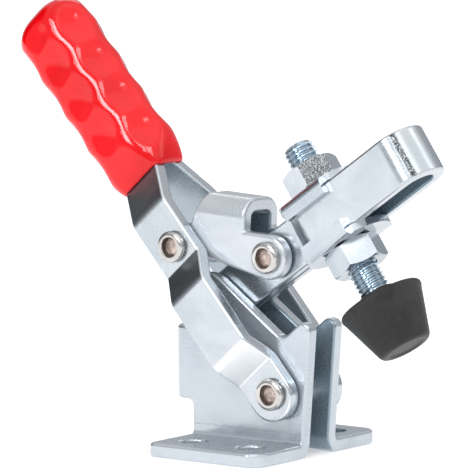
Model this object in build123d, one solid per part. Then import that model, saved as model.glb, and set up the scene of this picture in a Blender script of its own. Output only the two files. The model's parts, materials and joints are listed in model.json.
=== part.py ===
"""Vertical-handle toggle clamp with a U-bar arm and a flanged base, in millimetres.

Frame: +X points forward to the spindle, +Y to the left-hand side, +Z up.  The origin lies on the
underside of the base, midway between the four mounting holes.  The clamp stands half open: the
handle leans back and the arm is raised, as the four pivots P1 to P4 set it.
"""
from build123d import *
import math
import os

# ---------------------------------------------------------------- stock and running fits
SHEET = 3.5                      # sheet of the base, the handle strips and the link
ARM_SHEET = 3.4                  # flat bar that the U-shaped arm is folded from
FIT = 0.05                       # radial running clearance of a pivot
SIDE_PLAY = 0.3                  # side clearance between plates that turn past each other
FACE_PLAY = 0.1                  # clearance between faces that lie against each other

# ---------------------------------------------------------------- pivots, side view (x, z)
HANDLE_PIVOT = (10.9, 16.15)     # P3: handle on the base
ARM_PIVOT = (-12.4, 36.7)        # P4: arm on the base
HANDLE_LINK_PIVOT = (-19.6, 50.9)  # P1: handle on the link
BAR_TILT = 34.5                  # degrees that the raised arm stands above the horizon

# ---------------------------------------------------------------- base bracket
BASE_GAP = 7.2                   # clear gap between the two uprights
BASE_FRONT_X = 17.5
BASE_REAR_X = -17.0
BASE_WIDTH = 51.6
FLANGE_FRONT_ROUND = 4.5
FLANGE_REAR_ROUND = 2.5
FLANGE_BEND = 0.8                # inside radius where an upright turns into its flange
HOLE_DIAMETER = 7.1
HOLE_SPACING_X = 17.7
HOLE_SPACING_Y = 33.8
UPRIGHT_TOP_Z = 34.0             # top of the front horn
UPRIGHT_LEAN = 2.4               # how far the front edge leans forward up to the horn
HORN_WIDTH = 3.2
VALLEY_DROP = 4.6                # depth of the saddle behind the horn
VALLEY_X = 11.2
HORN_FRONT_ROUND = 2.2
HORN_REAR_ROUND = 1.8
VALLEY_ROUND = 3.0
ARM_LOBE_RADIUS = 7.8            # rounded top of the upright around the arm pivot
WEB_REAR_X = -24.0               # outside of the rear wall that joins the uprights
WEB_BEND = 1.5                   # inside radius of the rear wall's corners
WEB_BOTTOM_Z = 12.0
WEB_TOP_Z = 30.5
NOTCH_ROUND = 1.7

# ---------------------------------------------------------------- rivets and pivot sleeves
RIVET_DIAMETER = 5.4
RIVET_HEAD_DIAMETER = 8.0
RIVET_HEAD_HEIGHT = 1.2
RIVET_HEAD_ROUND = 0.5
RIVET_DISH_DIAMETER = 5.1
RIVET_FLOOR_DIAMETER = 4.5
RIVET_DISH_DEPTH = 1.5
SLEEVE_WALL = 1.0

# ---------------------------------------------------------------- handle strips
STRIP_WIDTH = 13.0
STRIP_OFFSET = 0.7               # strip centre line, measured rearward from the line P3 to P1
FOOT_FLAT = 8.5                  # from P3 to the first bend
BULGE_START = 14.5               # end of the first joggle
BULGE_END = 32.5
BULGE_DEPTH = 5.0                # how far the bulge stands out past the rivet heads
WAIST_START = 40.0               # start of the flat that carries P1
WAIST_END = 57.0
TANG_START = 70.5                # from here the strips lie face to face inside the grip
STRIP_BEND = 1.0                 # inside radius of the strip's bends

# ---------------------------------------------------------------- grip
GRIP_START = 66.8                # distance of the grip's open end from P3
GRIP_LENGTH = 55.8
GRIP_WIDTH = 22.6
GRIP_THICKNESS = 17.8
GRIP_END_WALL = 4.6              # soft material beyond the ends of the strips
GRIP_MOUTH_WALL = 0.8
GRIP_MOUTH_ROUND = 2.2
GRIP_FLARE = 9.0                 # length over which the mouth widens into the full oval
GRIP_FLARE_SHARE = 0.35          # how much of the mouth's shape is left halfway along the flare
GRIP_ROUND = 8.8
GRIP_END_ROUND = 8.4
DIMPLE_COLUMNS = 6               # columns of thumb-sized hollows around the grip
DIMPLE_ROWS = 4
DIMPLE_PITCH = 11.3
DIMPLE_FIRST = 10.6              # from the grip's open end to the first hollow
DIMPLE_RADIUS = 14.0
DIMPLE_DEPTH = 1.3

# ---------------------------------------------------------------- link channel
LINK_BORE = 7.6                  # clear width inside the channel
LINK_TOP = 13.7                  # height of the channel's back above the line P1 to P2
LINK_BEND = 1.6                  # inside radius of the channel's back
LINK_LOBE_RADIUS = 5.6
LINK_FRONT_SETBACK = 7.6         # from P2 back to the front end of the channel's back
LINK_REAR_TOP = 4.9              # from P1 forward to the rear end of the channel's back
LINK_REAR_FOOT = 1.9             # from P1 forward to the place where the rear edge meets its lobe
LINK_BELLY_SLOPE = 10.3          # degrees that the lower edge rises from P2 towards P1

# ---------------------------------------------------------------- arm
ARM_HEIGHT = 12.6
ARM_CENTRE = -0.7                # centre line of the bar above the arm pivot
ARM_LINK_X = 23.1                # P2 along the bar from P4
ARM_LINK_Z = -0.4                # P2 across the bar from P4
ARM_SPLIT = 0.2                  # gap between the two rear leaves
SLOT_WIDTH = 8.5
JOGGLE_START = 33.3
JOGGLE_END = 38.2
ARM_END = 75.05                  # nose of the U-bar, from the arm pivot
ARM_TAIL_RADIUS = 6.3
ARM_BEND = 1.5

# ---------------------------------------------------------------- spindle and its hardware
SPINDLE_X = 41.9                 # spindle axis along the bar from the arm pivot
THREAD_DIAMETER = 8.0
SPINDLE_TOP = 19.8
SPINDLE_BOTTOM = -34.0
SPINDLE_CHAMFER = 0.8
SPINDLE_HEAD_DIAMETER = 11.0
SPINDLE_HEAD_HEIGHT = 3.0
NUT_ACROSS_FLATS = 13.0
NUT_HEIGHT = 6.5
NUT_CHAMFER_ANGLE = 30.0
WASHER_SHEET = 1.8
WASHER_DIAMETER = 23.0
WASHER_LIP = 2.5                 # depth of the lips beside the bar
WASHER_LIP_LENGTH = 14.0
WASHER_HOLE = 8.4
WASHER_BEND = 0.1                # inside radius between plate and lip
NUT_TURN = -14.0                 # degrees that the nuts are turned about the spindle

# ---------------------------------------------------------------- rubber tip
TIP_TOP_DIAMETER = 21.8
TIP_BOTTOM_DIAMETER = 13.4
TIP_HEIGHT = 14.0
TIP_TOP_Z = -24.3                # rim of the tip, across the bar from the arm pivot
TIP_NECK_DIAMETER = 10.0
TIP_NECK_HEIGHT = 1.8
TIP_ROUND = 1.0
TIP_RIM_BAND = 1.2               # straight band below the rim
TIP_SHOULDER = 0.6               # rise of the shoulder from the rim to the neck


# ---------------------------------------------------------------- derived places
BASE_HALF = BASE_GAP / 2 + SHEET
LINK_HALF = LINK_BORE / 2 + SHEET
STRIP_INNER = LINK_HALF + SIDE_PLAY
STRIP_OUTER = STRIP_INNER + SHEET
SLEEVE_RADIUS = RIVET_DIAMETER / 2 + FIT + SLEEVE_WALL
LEAF_OUTER = ARM_SPLIT / 2 + ARM_SHEET
LEG_OUTER = SLOT_WIDTH / 2 + ARM_SHEET
BAR_TOP = ARM_CENTRE + ARM_HEIGHT / 2
BAR_BOTTOM = ARM_CENTRE - ARM_HEIGHT / 2
BAR_COS = math.cos(math.radians(BAR_TILT))
BAR_SIN = math.sin(math.radians(BAR_TILT))
ARM_LINK_PIVOT = (ARM_PIVOT[0] + ARM_LINK_X * BAR_COS - ARM_LINK_Z * BAR_SIN,
                  ARM_PIVOT[1] + ARM_LINK_X * BAR_SIN + ARM_LINK_Z * BAR_COS)  # P2: link on the arm
LINK_LENGTH = math.dist(HANDLE_LINK_PIVOT, ARM_LINK_PIVOT)
TANG_END = GRIP_START + GRIP_LENGTH - GRIP_END_WALL
HANDLE_LENGTH = math.dist(HANDLE_PIVOT, HANDLE_LINK_PIVOT)


def side_face(points):
    """Closed polygon in the side view, given as (x, z) points."""
    return make_face(Polyline(*points, close=True))


def slab(face, y_low, y_high):
    """Plate with a side-view outline, standing between two values of y."""
    return extrude(Plane.XZ.offset(-y_high) * face, amount=y_high - y_low)


def crosswise_cylinder(centre, radius, y_low, y_high):
    """Cylinder along Y whose axis passes through the side-view point centre."""
    return slab(Pos(centre[0], centre[1]) * Circle(radius), y_low, y_high)


def round_corner(face, point, radius):
    """Round the corner of a face that lies nearest to a point."""
    corner = face.vertices().sort_by_distance((point[0], point[1], 0))[0]
    return fillet(corner, radius)


def heading(start, end):
    """Direction from one side-view point to another, in degrees above +X."""
    return math.degrees(math.atan2(end[1] - start[1], end[0] - start[0]))


def stand(shape, pivot, angle):
    """Turn a shape made along +X through angle degrees up, about pivot in the side view."""
    return Pos(pivot[0], 0, pivot[1]) * Rot(0, -angle, 0) * shape


def unit_normal(start, end):
    """Unit vector to the left of the way from start to end."""
    length = math.dist(start, end)
    return ((start[1] - end[1]) / length, (end[0] - start[0]) / length)


def bent_strip(points, thickness, bend):
    """Section of a sheet folded along points, lying to their left, with an inside bend radius."""
    normals = [unit_normal(a, b) for a, b in zip(points, points[1:])]
    inner = []
    for point, before, after in zip(points, normals[:1] + normals, normals + normals[-1:]):
        reach = thickness / (1 + before[0] * after[0] + before[1] * after[1])
        inner.append((point[0] + reach * (before[0] + after[0]),
                      point[1] + reach * (before[1] + after[1])))
    face = make_face(Polyline(*points, *reversed(inner), close=True))
    for index in range(1, len(points) - 1):
        before, after = normals[index - 1], normals[index]
        turns_left = before[0] * after[1] - before[1] * after[0] > 0
        face = round_corner(face, points[index], bend + thickness if turns_left else bend)
        face = round_corner(face, inner[index], bend if turns_left else bend + thickness)
    return face


def tangent_point(point, centre, radius):
    """Point where a line from a side-view point touches a circle, anticlockwise of that point."""
    spread = math.degrees(math.acos(radius / math.dist(point, centre)))
    angle = math.radians(heading(centre, point) + spread)
    return (centre[0] + radius * math.cos(angle), centre[1] + radius * math.sin(angle))


def both_sides(shape):
    """A shape together with its mirror image on the other side of the clamp's middle plane."""
    return shape + mirror(shape, about=Plane.XZ)


def base_outline():
    """Side view of the bracket: upright with horn, saddle and arm lobe above its foot."""
    horn_front = (BASE_FRONT_X + UPRIGHT_LEAN, UPRIGHT_TOP_Z)
    horn_rear = (horn_front[0] - HORN_WIDTH, UPRIGHT_TOP_Z)
    valley = (VALLEY_X, UPRIGHT_TOP_Z - VALLEY_DROP)
    wall_x = WEB_REAR_X + SHEET + WEB_BEND
    notch = (BASE_REAR_X, WEB_BOTTOM_Z)
    outline = side_face([
        (BASE_REAR_X, 0),
        (BASE_FRONT_X, 0),
        (BASE_FRONT_X, SHEET + FLANGE_BEND),
        horn_front,
        horn_rear,
        valley,
        tangent_point(valley, ARM_PIVOT, ARM_LOBE_RADIUS),
        ARM_PIVOT,
        (wall_x, ARM_PIVOT[1]),
        (wall_x, WEB_BOTTOM_Z),
        notch,
    ])
    outline = round_corner(outline, horn_front, HORN_FRONT_ROUND)
    outline = round_corner(outline, horn_rear, HORN_REAR_ROUND)
    outline = round_corner(outline, valley, VALLEY_ROUND)
    outline = round_corner(outline, notch, NOTCH_ROUND)
    return outline + Pos(*ARM_PIVOT) * Circle(ARM_LOBE_RADIUS)


def base_bracket():
    """One folded sheet: two flanges, two uprights and the rear wall that joins them."""
    half_width = BASE_WIDTH / 2
    section = bent_strip([(BASE_GAP / 2, ARM_PIVOT[1] + 2 * ARM_LOBE_RADIUS), (BASE_GAP / 2, 0),
                          (half_width, 0)], SHEET, FLANGE_BEND)
    side = extrude(Plane.YZ.offset(WEB_REAR_X) * section, amount=BASE_FRONT_X + UPRIGHT_LEAN - WEB_REAR_X)
    side = side & slab(base_outline(), 0, half_width)
    corners = side.edges().filter_by(Axis.Z).group_by(Axis.Y)[-1].sort_by(Axis.X)
    side = fillet(corners[-1], FLANGE_FRONT_ROUND)
    corners = side.edges().filter_by(Axis.Z).group_by(Axis.Y)[-1].sort_by(Axis.X)
    side = fillet(corners[0], FLANGE_REAR_ROUND)
    for x in (-HOLE_SPACING_X / 2, HOLE_SPACING_X / 2):
        side -= Pos(x, HOLE_SPACING_Y / 2, SHEET / 2) * Cylinder(HOLE_DIAMETER / 2, 2 * SHEET)
    wall = bent_strip([(BASE_REAR_X, -BASE_HALF), (WEB_REAR_X, -BASE_HALF),
                       (WEB_REAR_X, BASE_HALF), (BASE_REAR_X, BASE_HALF)][::-1], SHEET, WEB_BEND)
    wall = extrude(Pos(0, 0, WEB_BOTTOM_Z) * wall, amount=WEB_TOP_Z - WEB_BOTTOM_Z)
    bracket = both_sides(side) + wall
    for pivot in (HANDLE_PIVOT, ARM_PIVOT):
        bracket -= crosswise_cylinder(pivot, RIVET_DIAMETER / 2, -BASE_HALF, BASE_HALF)
    return bracket


def turned(points, rounded=None, radius=0.0):
    """Solid turned about Y from (radius, y) points, with one corner rounded if it is named."""
    profile = make_face(Polyline(*points, close=True))
    if rounded:
        profile = round_corner(profile, rounded, radius)
    return revolve(profile, Axis.Y)


def rivet(centre, y_low, y_high, heads=(-1, 1)):
    """Rivet along Y with a dished round head outside each face that heads names by its side."""
    rim = RIVET_HEAD_DIAMETER / 2
    floor_y = RIVET_HEAD_HEIGHT - RIVET_DISH_DEPTH
    head = turned([(0, 0), (rim, 0), (rim, RIVET_HEAD_HEIGHT), (0, RIVET_HEAD_HEIGHT)],
                  (rim, RIVET_HEAD_HEIGHT), RIVET_HEAD_ROUND)
    dish = turned([(0, floor_y), (RIVET_FLOOR_DIAMETER / 2, floor_y),
                   (RIVET_DISH_DIAMETER / 2, RIVET_HEAD_HEIGHT), (0, RIVET_HEAD_HEIGHT)])
    body = crosswise_cylinder(centre, RIVET_DIAMETER / 2, y_low, y_high)
    for side in heads:
        place = Pos(centre[0], y_high if side > 0 else y_low, centre[1]) * Rot(0, 0, 0 if side > 0 else 180)
        body = body + place * head - place * dish
    return body


def sleeve(centre, half_length):
    """Spacer tube around a rivet, between two plates."""
    tube = crosswise_cylinder(centre, SLEEVE_RADIUS, -half_length, half_length)
    return tube - crosswise_cylinder(centre, RIVET_DIAMETER / 2 + FIT, -half_length, half_length)


def handle_strip():
    """Left-hand strip of the handle, made along +X from its foot at P3."""
    half = STRIP_WIDTH / 2
    tang_y = FACE_PLAY / 2
    path = [(-half, STRIP_INNER), (FOOT_FLAT, STRIP_INNER),
            (BULGE_START, STRIP_INNER + BULGE_DEPTH), (BULGE_END, STRIP_INNER + BULGE_DEPTH),
            (WAIST_START, STRIP_INNER), (WAIST_END, STRIP_INNER),
            (TANG_START, tang_y), (TANG_END, tang_y)]
    strip = extrude(Pos(0, 0, STRIP_OFFSET - half) * bent_strip(path, SHEET, STRIP_BEND), amount=STRIP_WIDTH)
    outline = side_face([(0, STRIP_OFFSET - half), (TANG_END, STRIP_OFFSET - half),
                         (TANG_END, STRIP_OFFSET + half), (0, STRIP_OFFSET + half)])
    outline += Pos(0, STRIP_OFFSET) * Circle(half)
    strip &= slab(outline, 0, STRIP_OUTER + BULGE_DEPTH)
    for centre in ((0, 0), (HANDLE_LENGTH, 0)):
        strip -= crosswise_cylinder(centre, RIVET_DIAMETER / 2 + FIT, 0, STRIP_OUTER + BULGE_DEPTH)
    return strip


def grip_section(distance, mouth_share=0.0):
    """Rounded section of the grip across the handle, blended from the full oval to the mouth."""
    mouth_y = SHEET + STRIP_INNER * (TANG_START - GRIP_START) / (TANG_START - WAIST_END)
    full = (GRIP_THICKNESS, GRIP_WIDTH, GRIP_ROUND)
    mouth = (2 * (mouth_y + GRIP_MOUTH_WALL), STRIP_WIDTH + 2 * GRIP_MOUTH_WALL, GRIP_MOUTH_ROUND)
    thickness, width, corner = (a + (b - a) * mouth_share for a, b in zip(full, mouth))
    plane = Plane(origin=(distance, 0, STRIP_OFFSET), x_dir=(0, 1, 0), z_dir=(1, 0, 0))
    return plane * RectangleRounded(thickness, width, corner)


def grip_dimples():
    """Balls that hollow the grip in staggered columns around its oval section."""
    balls = []
    for column in range(DIMPLE_COLUMNS):
        turn = 2 * math.pi * column / DIMPLE_COLUMNS
        y, z = -GRIP_THICKNESS / 2 * math.cos(turn), -GRIP_WIDTH / 2 * math.sin(turn)
        slope = math.hypot(y / GRIP_THICKNESS ** 2, z / GRIP_WIDTH ** 2)
        out_y, out_z = y / GRIP_THICKNESS ** 2 / slope, z / GRIP_WIDTH ** 2 / slope
        reach = DIMPLE_RADIUS - DIMPLE_DEPTH
        shift = 0 if column % 2 else DIMPLE_PITCH / 2
        for row in range(DIMPLE_ROWS):
            x = GRIP_START + DIMPLE_FIRST + shift + row * DIMPLE_PITCH
            balls.append(Pos(x, y + reach * out_y, STRIP_OFFSET + z + reach * out_z) * Sphere(DIMPLE_RADIUS))
    return balls


def handle_grip():
    """Soft grip dipped over both strips: square mouth, oval body with dimples and a domed end."""
    flare_end = GRIP_START + GRIP_FLARE
    flare = loft([
        grip_section(GRIP_START, mouth_share=1.0),
        grip_section(GRIP_START + GRIP_FLARE / 2, mouth_share=GRIP_FLARE_SHARE),
        grip_section(flare_end),
    ], ruled=True)
    barrel = extrude(grip_section(flare_end), amount=GRIP_LENGTH - GRIP_FLARE)
    barrel = fillet(barrel.faces().sort_by(Axis.X)[-1].edges(), GRIP_END_ROUND)
    grip = flare + barrel
    for ball in grip_dimples():
        grip -= ball
    return grip - bent_core() - both_sides(handle_strip())


def bent_core():
    """Space inside the grip that the two converging strips fill."""
    half = STRIP_WIDTH / 2
    slope = STRIP_INNER / (TANG_START - WAIST_END)
    side_y = SHEET + FACE_PLAY / 2
    mouth_y = side_y + slope * (TANG_START - WAIST_END)
    plan = make_face(Polyline((WAIST_END, -mouth_y), (TANG_START, -side_y), (TANG_END, -side_y),
                              (TANG_END, side_y), (TANG_START, side_y), (WAIST_END, mouth_y), close=True))
    return extrude(Pos(0, 0, STRIP_OFFSET - half) * plan, amount=STRIP_WIDTH)


def link_channel():
    """Inverted U between the handle strips, made along +X from P1 to P2."""
    lobe = LINK_LOBE_RADIUS
    slope = math.radians(LINK_BELLY_SLOPE)
    front_x = LINK_LENGTH - LINK_FRONT_SETBACK
    belly = (LINK_LENGTH - lobe * math.sin(slope), -lobe * math.cos(slope))
    outline = side_face([
        (0, 0),
        (LINK_REAR_FOOT, math.sqrt(lobe ** 2 - LINK_REAR_FOOT ** 2)),
        (LINK_REAR_TOP, LINK_TOP),
        (front_x, LINK_TOP),
        (front_x, lobe),
        (LINK_LENGTH, lobe),
        (LINK_LENGTH, 0),
        belly,
        (0, belly[1] + belly[0] * math.tan(slope)),
    ])
    outline += Circle(lobe)
    outline += Pos(LINK_LENGTH, 0) * Circle(lobe)
    section = bent_strip([(LINK_HALF, -lobe), (LINK_HALF, LINK_TOP), (-LINK_HALF, LINK_TOP),
                          (-LINK_HALF, -lobe)], SHEET, LINK_BEND)
    channel = extrude(Plane.YZ.offset(-lobe) * section, amount=LINK_LENGTH + 2 * lobe)
    channel &= slab(outline, -LINK_HALF, LINK_HALF)
    for centre in ((0, 0), (LINK_LENGTH, 0)):
        channel -= crosswise_cylinder(centre, RIVET_DIAMETER / 2, -LINK_HALF, LINK_HALF)
    return stand(channel, HANDLE_LINK_PIVOT, heading(HANDLE_LINK_PIVOT, ARM_LINK_PIVOT))


def clamp_arm():
    """Flat bar folded into a slotted U: two leaves at the rear that joggle apart into the slot."""
    split = ARM_SPLIT / 2
    slot = SLOT_WIDTH / 2
    nose_x = ARM_END - LEG_OUTER
    leg = bent_strip([(nose_x, slot), (JOGGLE_END, slot), (JOGGLE_START, split),
                      (-ARM_TAIL_RADIUS, split)][::-1], ARM_SHEET, ARM_BEND)
    nose = Pos(nose_x, 0) * (Circle(LEG_OUTER) - Circle(slot))
    nose &= Pos(nose_x + LEG_OUTER / 2, 0) * Rectangle(LEG_OUTER, 2 * LEG_OUTER)
    plan = leg + mirror(leg, about=Plane.XZ) + nose
    bar = extrude(Pos(0, 0, BAR_BOTTOM) * plan, amount=ARM_HEIGHT)
    tail = Pos(0, ARM_CENTRE) * (Circle(ARM_HEIGHT / 2) + Pos(ARM_END / 2, 0) * Rectangle(ARM_END, ARM_HEIGHT))
    bar &= slab(tail, -LEG_OUTER, LEG_OUTER)
    for centre in ((0, 0), (ARM_LINK_X, ARM_LINK_Z)):
        bar -= crosswise_cylinder(centre, SLEEVE_RADIUS + FIT, -LEG_OUTER, LEG_OUTER)
    return bar


def flanged_washer():
    """Washer lying on the bar, its two folded lips reaching down beside the legs."""
    lip_inner = LEG_OUTER + FACE_PLAY
    lip_outer = lip_inner + WASHER_SHEET
    section = bent_strip([(lip_outer, -WASHER_LIP), (lip_outer, WASHER_SHEET), (-lip_outer, WASHER_SHEET),
                          (-lip_outer, -WASHER_LIP)], WASHER_SHEET, WASHER_BEND)
    saddle = extrude(Plane.YZ.offset(-WASHER_LIP_LENGTH / 2) * section, amount=WASHER_LIP_LENGTH)
    disc = Circle(WASHER_DIAMETER / 2) & Rectangle(WASHER_DIAMETER, 2 * lip_inner)
    washer = saddle + extrude(disc, amount=WASHER_SHEET)
    return washer - Pos(0, 0, WASHER_SHEET / 2) * Cylinder(WASHER_HOLE / 2, 2 * WASHER_SHEET)


def hex_nut():
    """Hexagon nut standing on z = 0 with both ends chamfered and a clear bore for the thread."""
    across_corners = NUT_ACROSS_FLATS / math.cos(math.radians(30))
    nut = extrude(RegularPolygon(across_corners / 2, 6), amount=NUT_HEIGHT)
    drop = (across_corners - NUT_ACROSS_FLATS) / 2 * math.tan(math.radians(NUT_CHAMFER_ANGLE))
    cone = revolve(side_plane_face([
        (0, 0),
        (NUT_ACROSS_FLATS / 2, 0),
        (across_corners / 2, drop),
        (across_corners / 2, NUT_HEIGHT - drop),
        (NUT_ACROSS_FLATS / 2, NUT_HEIGHT),
        (0, NUT_HEIGHT),
    ]), Axis.Z)
    return (nut & cone) - Pos(0, 0, NUT_HEIGHT / 2) * Cylinder(THREAD_DIAMETER / 2 + FIT, 2 * NUT_HEIGHT)


def side_plane_face(points):
    """Half section in the XZ plane, given as (radius, z) points, for a revolve about Z."""
    return make_face(Plane.XZ * Polyline(*points, close=True))


def spindle():
    """Threaded rod with a head that the rubber tip is moulded over."""
    radius = THREAD_DIAMETER / 2
    head = SPINDLE_HEAD_DIAMETER / 2
    return revolve(side_plane_face([
        (0, SPINDLE_BOTTOM - SPINDLE_HEAD_HEIGHT),
        (head, SPINDLE_BOTTOM - SPINDLE_HEAD_HEIGHT),
        (head, SPINDLE_BOTTOM),
        (radius, SPINDLE_BOTTOM),
        (radius, SPINDLE_TOP - SPINDLE_CHAMFER),
        (radius - SPINDLE_CHAMFER, SPINDLE_TOP),
        (0, SPINDLE_TOP),
    ]), Axis.Z)


def rubber_tip():
    """Tapered rubber foot with a short neck, moulded over the spindle's head."""
    rim = TIP_TOP_DIAMETER / 2
    foot = TIP_BOTTOM_DIAMETER / 2
    neck = TIP_NECK_DIAMETER / 2
    bottom_z = TIP_TOP_Z - TIP_HEIGHT
    profile = side_plane_face([
        (0, bottom_z),
        (foot, bottom_z),
        (rim, TIP_TOP_Z - TIP_RIM_BAND),
        (rim, TIP_TOP_Z),
        (neck, TIP_TOP_Z + TIP_SHOULDER),
        (neck, TIP_TOP_Z + TIP_NECK_HEIGHT),
        (0, TIP_TOP_Z + TIP_NECK_HEIGHT),
    ])
    tip = revolve(profile, Axis.Z)
    tip = fillet(tip.edges().filter_by(GeomType.CIRCLE).group_by(Axis.Z)[0], TIP_ROUND)
    tip = fillet(tip.edges().filter_by(GeomType.CIRCLE).group_by(SortBy.RADIUS)[-1], TIP_ROUND)
    return tip - spindle()


def on_handle(shape):
    """Place a shape made along +X from P3 on the raised handle."""
    return stand(shape, HANDLE_PIVOT, heading(HANDLE_PIVOT, HANDLE_LINK_PIVOT))


def on_bar(shape, along, across, flipped=False):
    """Place a shape made about Z on the raised arm, upside down if flipped."""
    turned = Rot(180, 0, 0) * shape if flipped else shape
    return stand(Pos(along, 0, across) * turned, ARM_PIVOT, BAR_TILT)


def build():
    """Every separate piece of the clamp under its node name."""
    strip = on_handle(handle_strip())
    left_pin = rivet(HANDLE_LINK_PIVOT, STRIP_INNER, STRIP_OUTER, heads=(1,))
    return {
        "base_bracket": base_bracket(),
        "base_rivet": rivet(HANDLE_PIVOT, -STRIP_OUTER, STRIP_OUTER),
        "base_spacer": sleeve(HANDLE_PIVOT, BASE_GAP / 2),
        "arm_rivet": rivet(ARM_PIVOT, -BASE_HALF, BASE_HALF),
        "arm_bush": sleeve(ARM_PIVOT, BASE_GAP / 2),
        "handle_strip_left": strip,
        "handle_strip_right": mirror(strip, about=Plane.XZ),
        "handle_grip": on_handle(handle_grip()),
        "handle_rivet_left": left_pin,
        "handle_rivet_right": mirror(left_pin, about=Plane.XZ),
        "link_channel": link_channel(),
        "link_rivet": rivet(ARM_LINK_PIVOT, -LINK_HALF, LINK_HALF),
        "link_bush": sleeve(ARM_LINK_PIVOT, LINK_BORE / 2),
        "clamp_arm": on_bar(clamp_arm(), 0, 0),
        "upper_washer": on_bar(flanged_washer(), SPINDLE_X, BAR_TOP),
        "lower_washer": on_bar(flanged_washer(), SPINDLE_X, BAR_BOTTOM, flipped=True),
        "upper_nut": on_bar(Rot(0, 0, NUT_TURN) * hex_nut(), SPINDLE_X, BAR_TOP + WASHER_SHEET),
        "lower_nut": on_bar(Rot(0, 0, -NUT_TURN) * hex_nut(), SPINDLE_X, BAR_BOTTOM - WASHER_SHEET, flipped=True),
        "spindle": on_bar(spindle(), SPINDLE_X, 0),
        "rubber_tip": on_bar(rubber_tip(), SPINDLE_X, 0),
    }


os.makedirs("parts", exist_ok=True)
for name, solid in build().items():
    solid.label = name
    export_step(solid, f"parts/{name}.step")
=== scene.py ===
import json
import logging
import math
from collections.abc import Iterator, Sequence
from contextlib import contextmanager
from dataclasses import dataclass, field
from enum import Enum

import bpy
from mathutils import Matrix, Vector

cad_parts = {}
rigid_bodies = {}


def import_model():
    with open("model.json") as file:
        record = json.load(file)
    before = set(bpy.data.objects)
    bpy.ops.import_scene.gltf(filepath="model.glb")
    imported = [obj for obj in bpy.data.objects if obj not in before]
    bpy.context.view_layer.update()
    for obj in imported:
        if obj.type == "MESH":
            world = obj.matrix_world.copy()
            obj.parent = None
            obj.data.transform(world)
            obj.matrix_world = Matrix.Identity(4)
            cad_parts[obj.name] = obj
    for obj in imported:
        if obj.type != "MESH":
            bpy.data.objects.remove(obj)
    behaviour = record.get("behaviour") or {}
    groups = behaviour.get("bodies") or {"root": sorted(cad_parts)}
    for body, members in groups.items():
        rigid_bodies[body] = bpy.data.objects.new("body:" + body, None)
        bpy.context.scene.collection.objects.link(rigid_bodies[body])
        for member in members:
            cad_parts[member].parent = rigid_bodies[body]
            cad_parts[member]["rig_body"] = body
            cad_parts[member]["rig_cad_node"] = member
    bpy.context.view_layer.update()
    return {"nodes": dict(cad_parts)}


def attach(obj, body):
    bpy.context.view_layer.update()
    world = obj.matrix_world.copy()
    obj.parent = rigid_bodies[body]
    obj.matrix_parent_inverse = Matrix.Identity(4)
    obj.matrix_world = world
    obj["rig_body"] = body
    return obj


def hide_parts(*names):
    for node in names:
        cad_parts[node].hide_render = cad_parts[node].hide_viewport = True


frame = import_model()
MM = 0.001
Colour = tuple[float, float, float]
Point = tuple[float, float, float]
Ring = tuple[float, float]

logging.basicConfig(level=logging.INFO, format="%(name)s: %(message)s")
log = logging.getLogger("toggle_clamp")


# ---------------------------------------------------------------- layout of the linkage
@dataclass(frozen=True)
class Axes:
    """A working frame in the clamp's side view, its X along a bar or strip."""

    x: float
    z: float
    tilt: float

    def matrix(self) -> Matrix:
        """Matrix from the working frame, in metres, to the clamp's own frame."""
        return Matrix.Translation((self.x, 0, self.z)) @ Matrix.Rotation(-self.tilt, 4, "Y")

    def point(self, along: float, across: float = 0.0, y: float = 0.0) -> Vector:
        """Place of a point of the working frame in the clamp's own frame.

        Args:
            along: Metres along the bar or strip.
            across: Metres square to it, in the side view.
            y: Metres to the left-hand side.

        Returns:
            The point in the clamp's own frame.
        """
        return self.matrix() @ Vector((along, y, across))

    def direction(self) -> Vector:
        """Unit vector along the bar or strip."""
        return Vector((math.cos(self.tilt), 0, math.sin(self.tilt)))

    def up(self) -> Vector:
        """Unit vector square to the bar or strip, in the side view."""
        return Vector((-math.sin(self.tilt), 0, math.cos(self.tilt)))


HANDLE_PIVOT = (10.9 * MM, 16.15 * MM)
LINK_END = (-19.6 * MM, 50.9 * MM)
HANDLE_AXES = Axes(*HANDLE_PIVOT, math.atan2(LINK_END[1] - HANDLE_PIVOT[1], LINK_END[0] - HANDLE_PIVOT[0]))
BAR_AXES = Axes(-12.4 * MM, 36.7 * MM, math.radians(34.5))
LEVEL = Axes(0.0, 0.0, 0.0)
LINK_ON_BAR = (23.1 * MM, -0.4 * MM)
SPINDLE_ON_BAR = 41.9 * MM
WELD = 0.002 * MM
FLATTEN = 0.4


# ---------------------------------------------------------------- modelling helpers
def clear_selection() -> None:
    """Deselect every object."""
    bpy.ops.object.select_all(action="DESELECT")


def pick(obj: bpy.types.Object) -> None:
    """Make one object the only selected and the active one."""
    clear_selection()
    obj.select_set(True)
    bpy.context.view_layer.objects.active = obj


@contextmanager
def editing(obj: bpy.types.Object, everything: bool = False) -> Iterator[None]:
    """Open an object's mesh in edit mode for the length of a with block.

    Args:
        obj: The object to edit.
        everything: Whether the whole mesh starts selected.

    Yields:
        Nothing; the mesh is in edit mode meanwhile.
    """
    pick(obj)
    bpy.ops.object.mode_set(mode="EDIT")
    bpy.ops.mesh.select_mode(type="FACE")
    bpy.ops.mesh.select_all(action="SELECT" if everything else "DESELECT")
    try:
        yield
    finally:
        bpy.ops.object.mode_set(mode="OBJECT")


def apply_modifier(obj: bpy.types.Object, kind: str, **settings: object) -> None:
    """Add a modifier with its settings and apply it at once.

    Args:
        obj: The object to change.
        kind: Blender's name of the modifier type.
        **settings: The modifier's properties.
    """
    modifier = obj.modifiers.new(kind.title(), kind)
    for key, value in settings.items():
        setattr(modifier, key, value)
    pick(obj)
    bpy.ops.object.modifier_apply(modifier=modifier.name)


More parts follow.
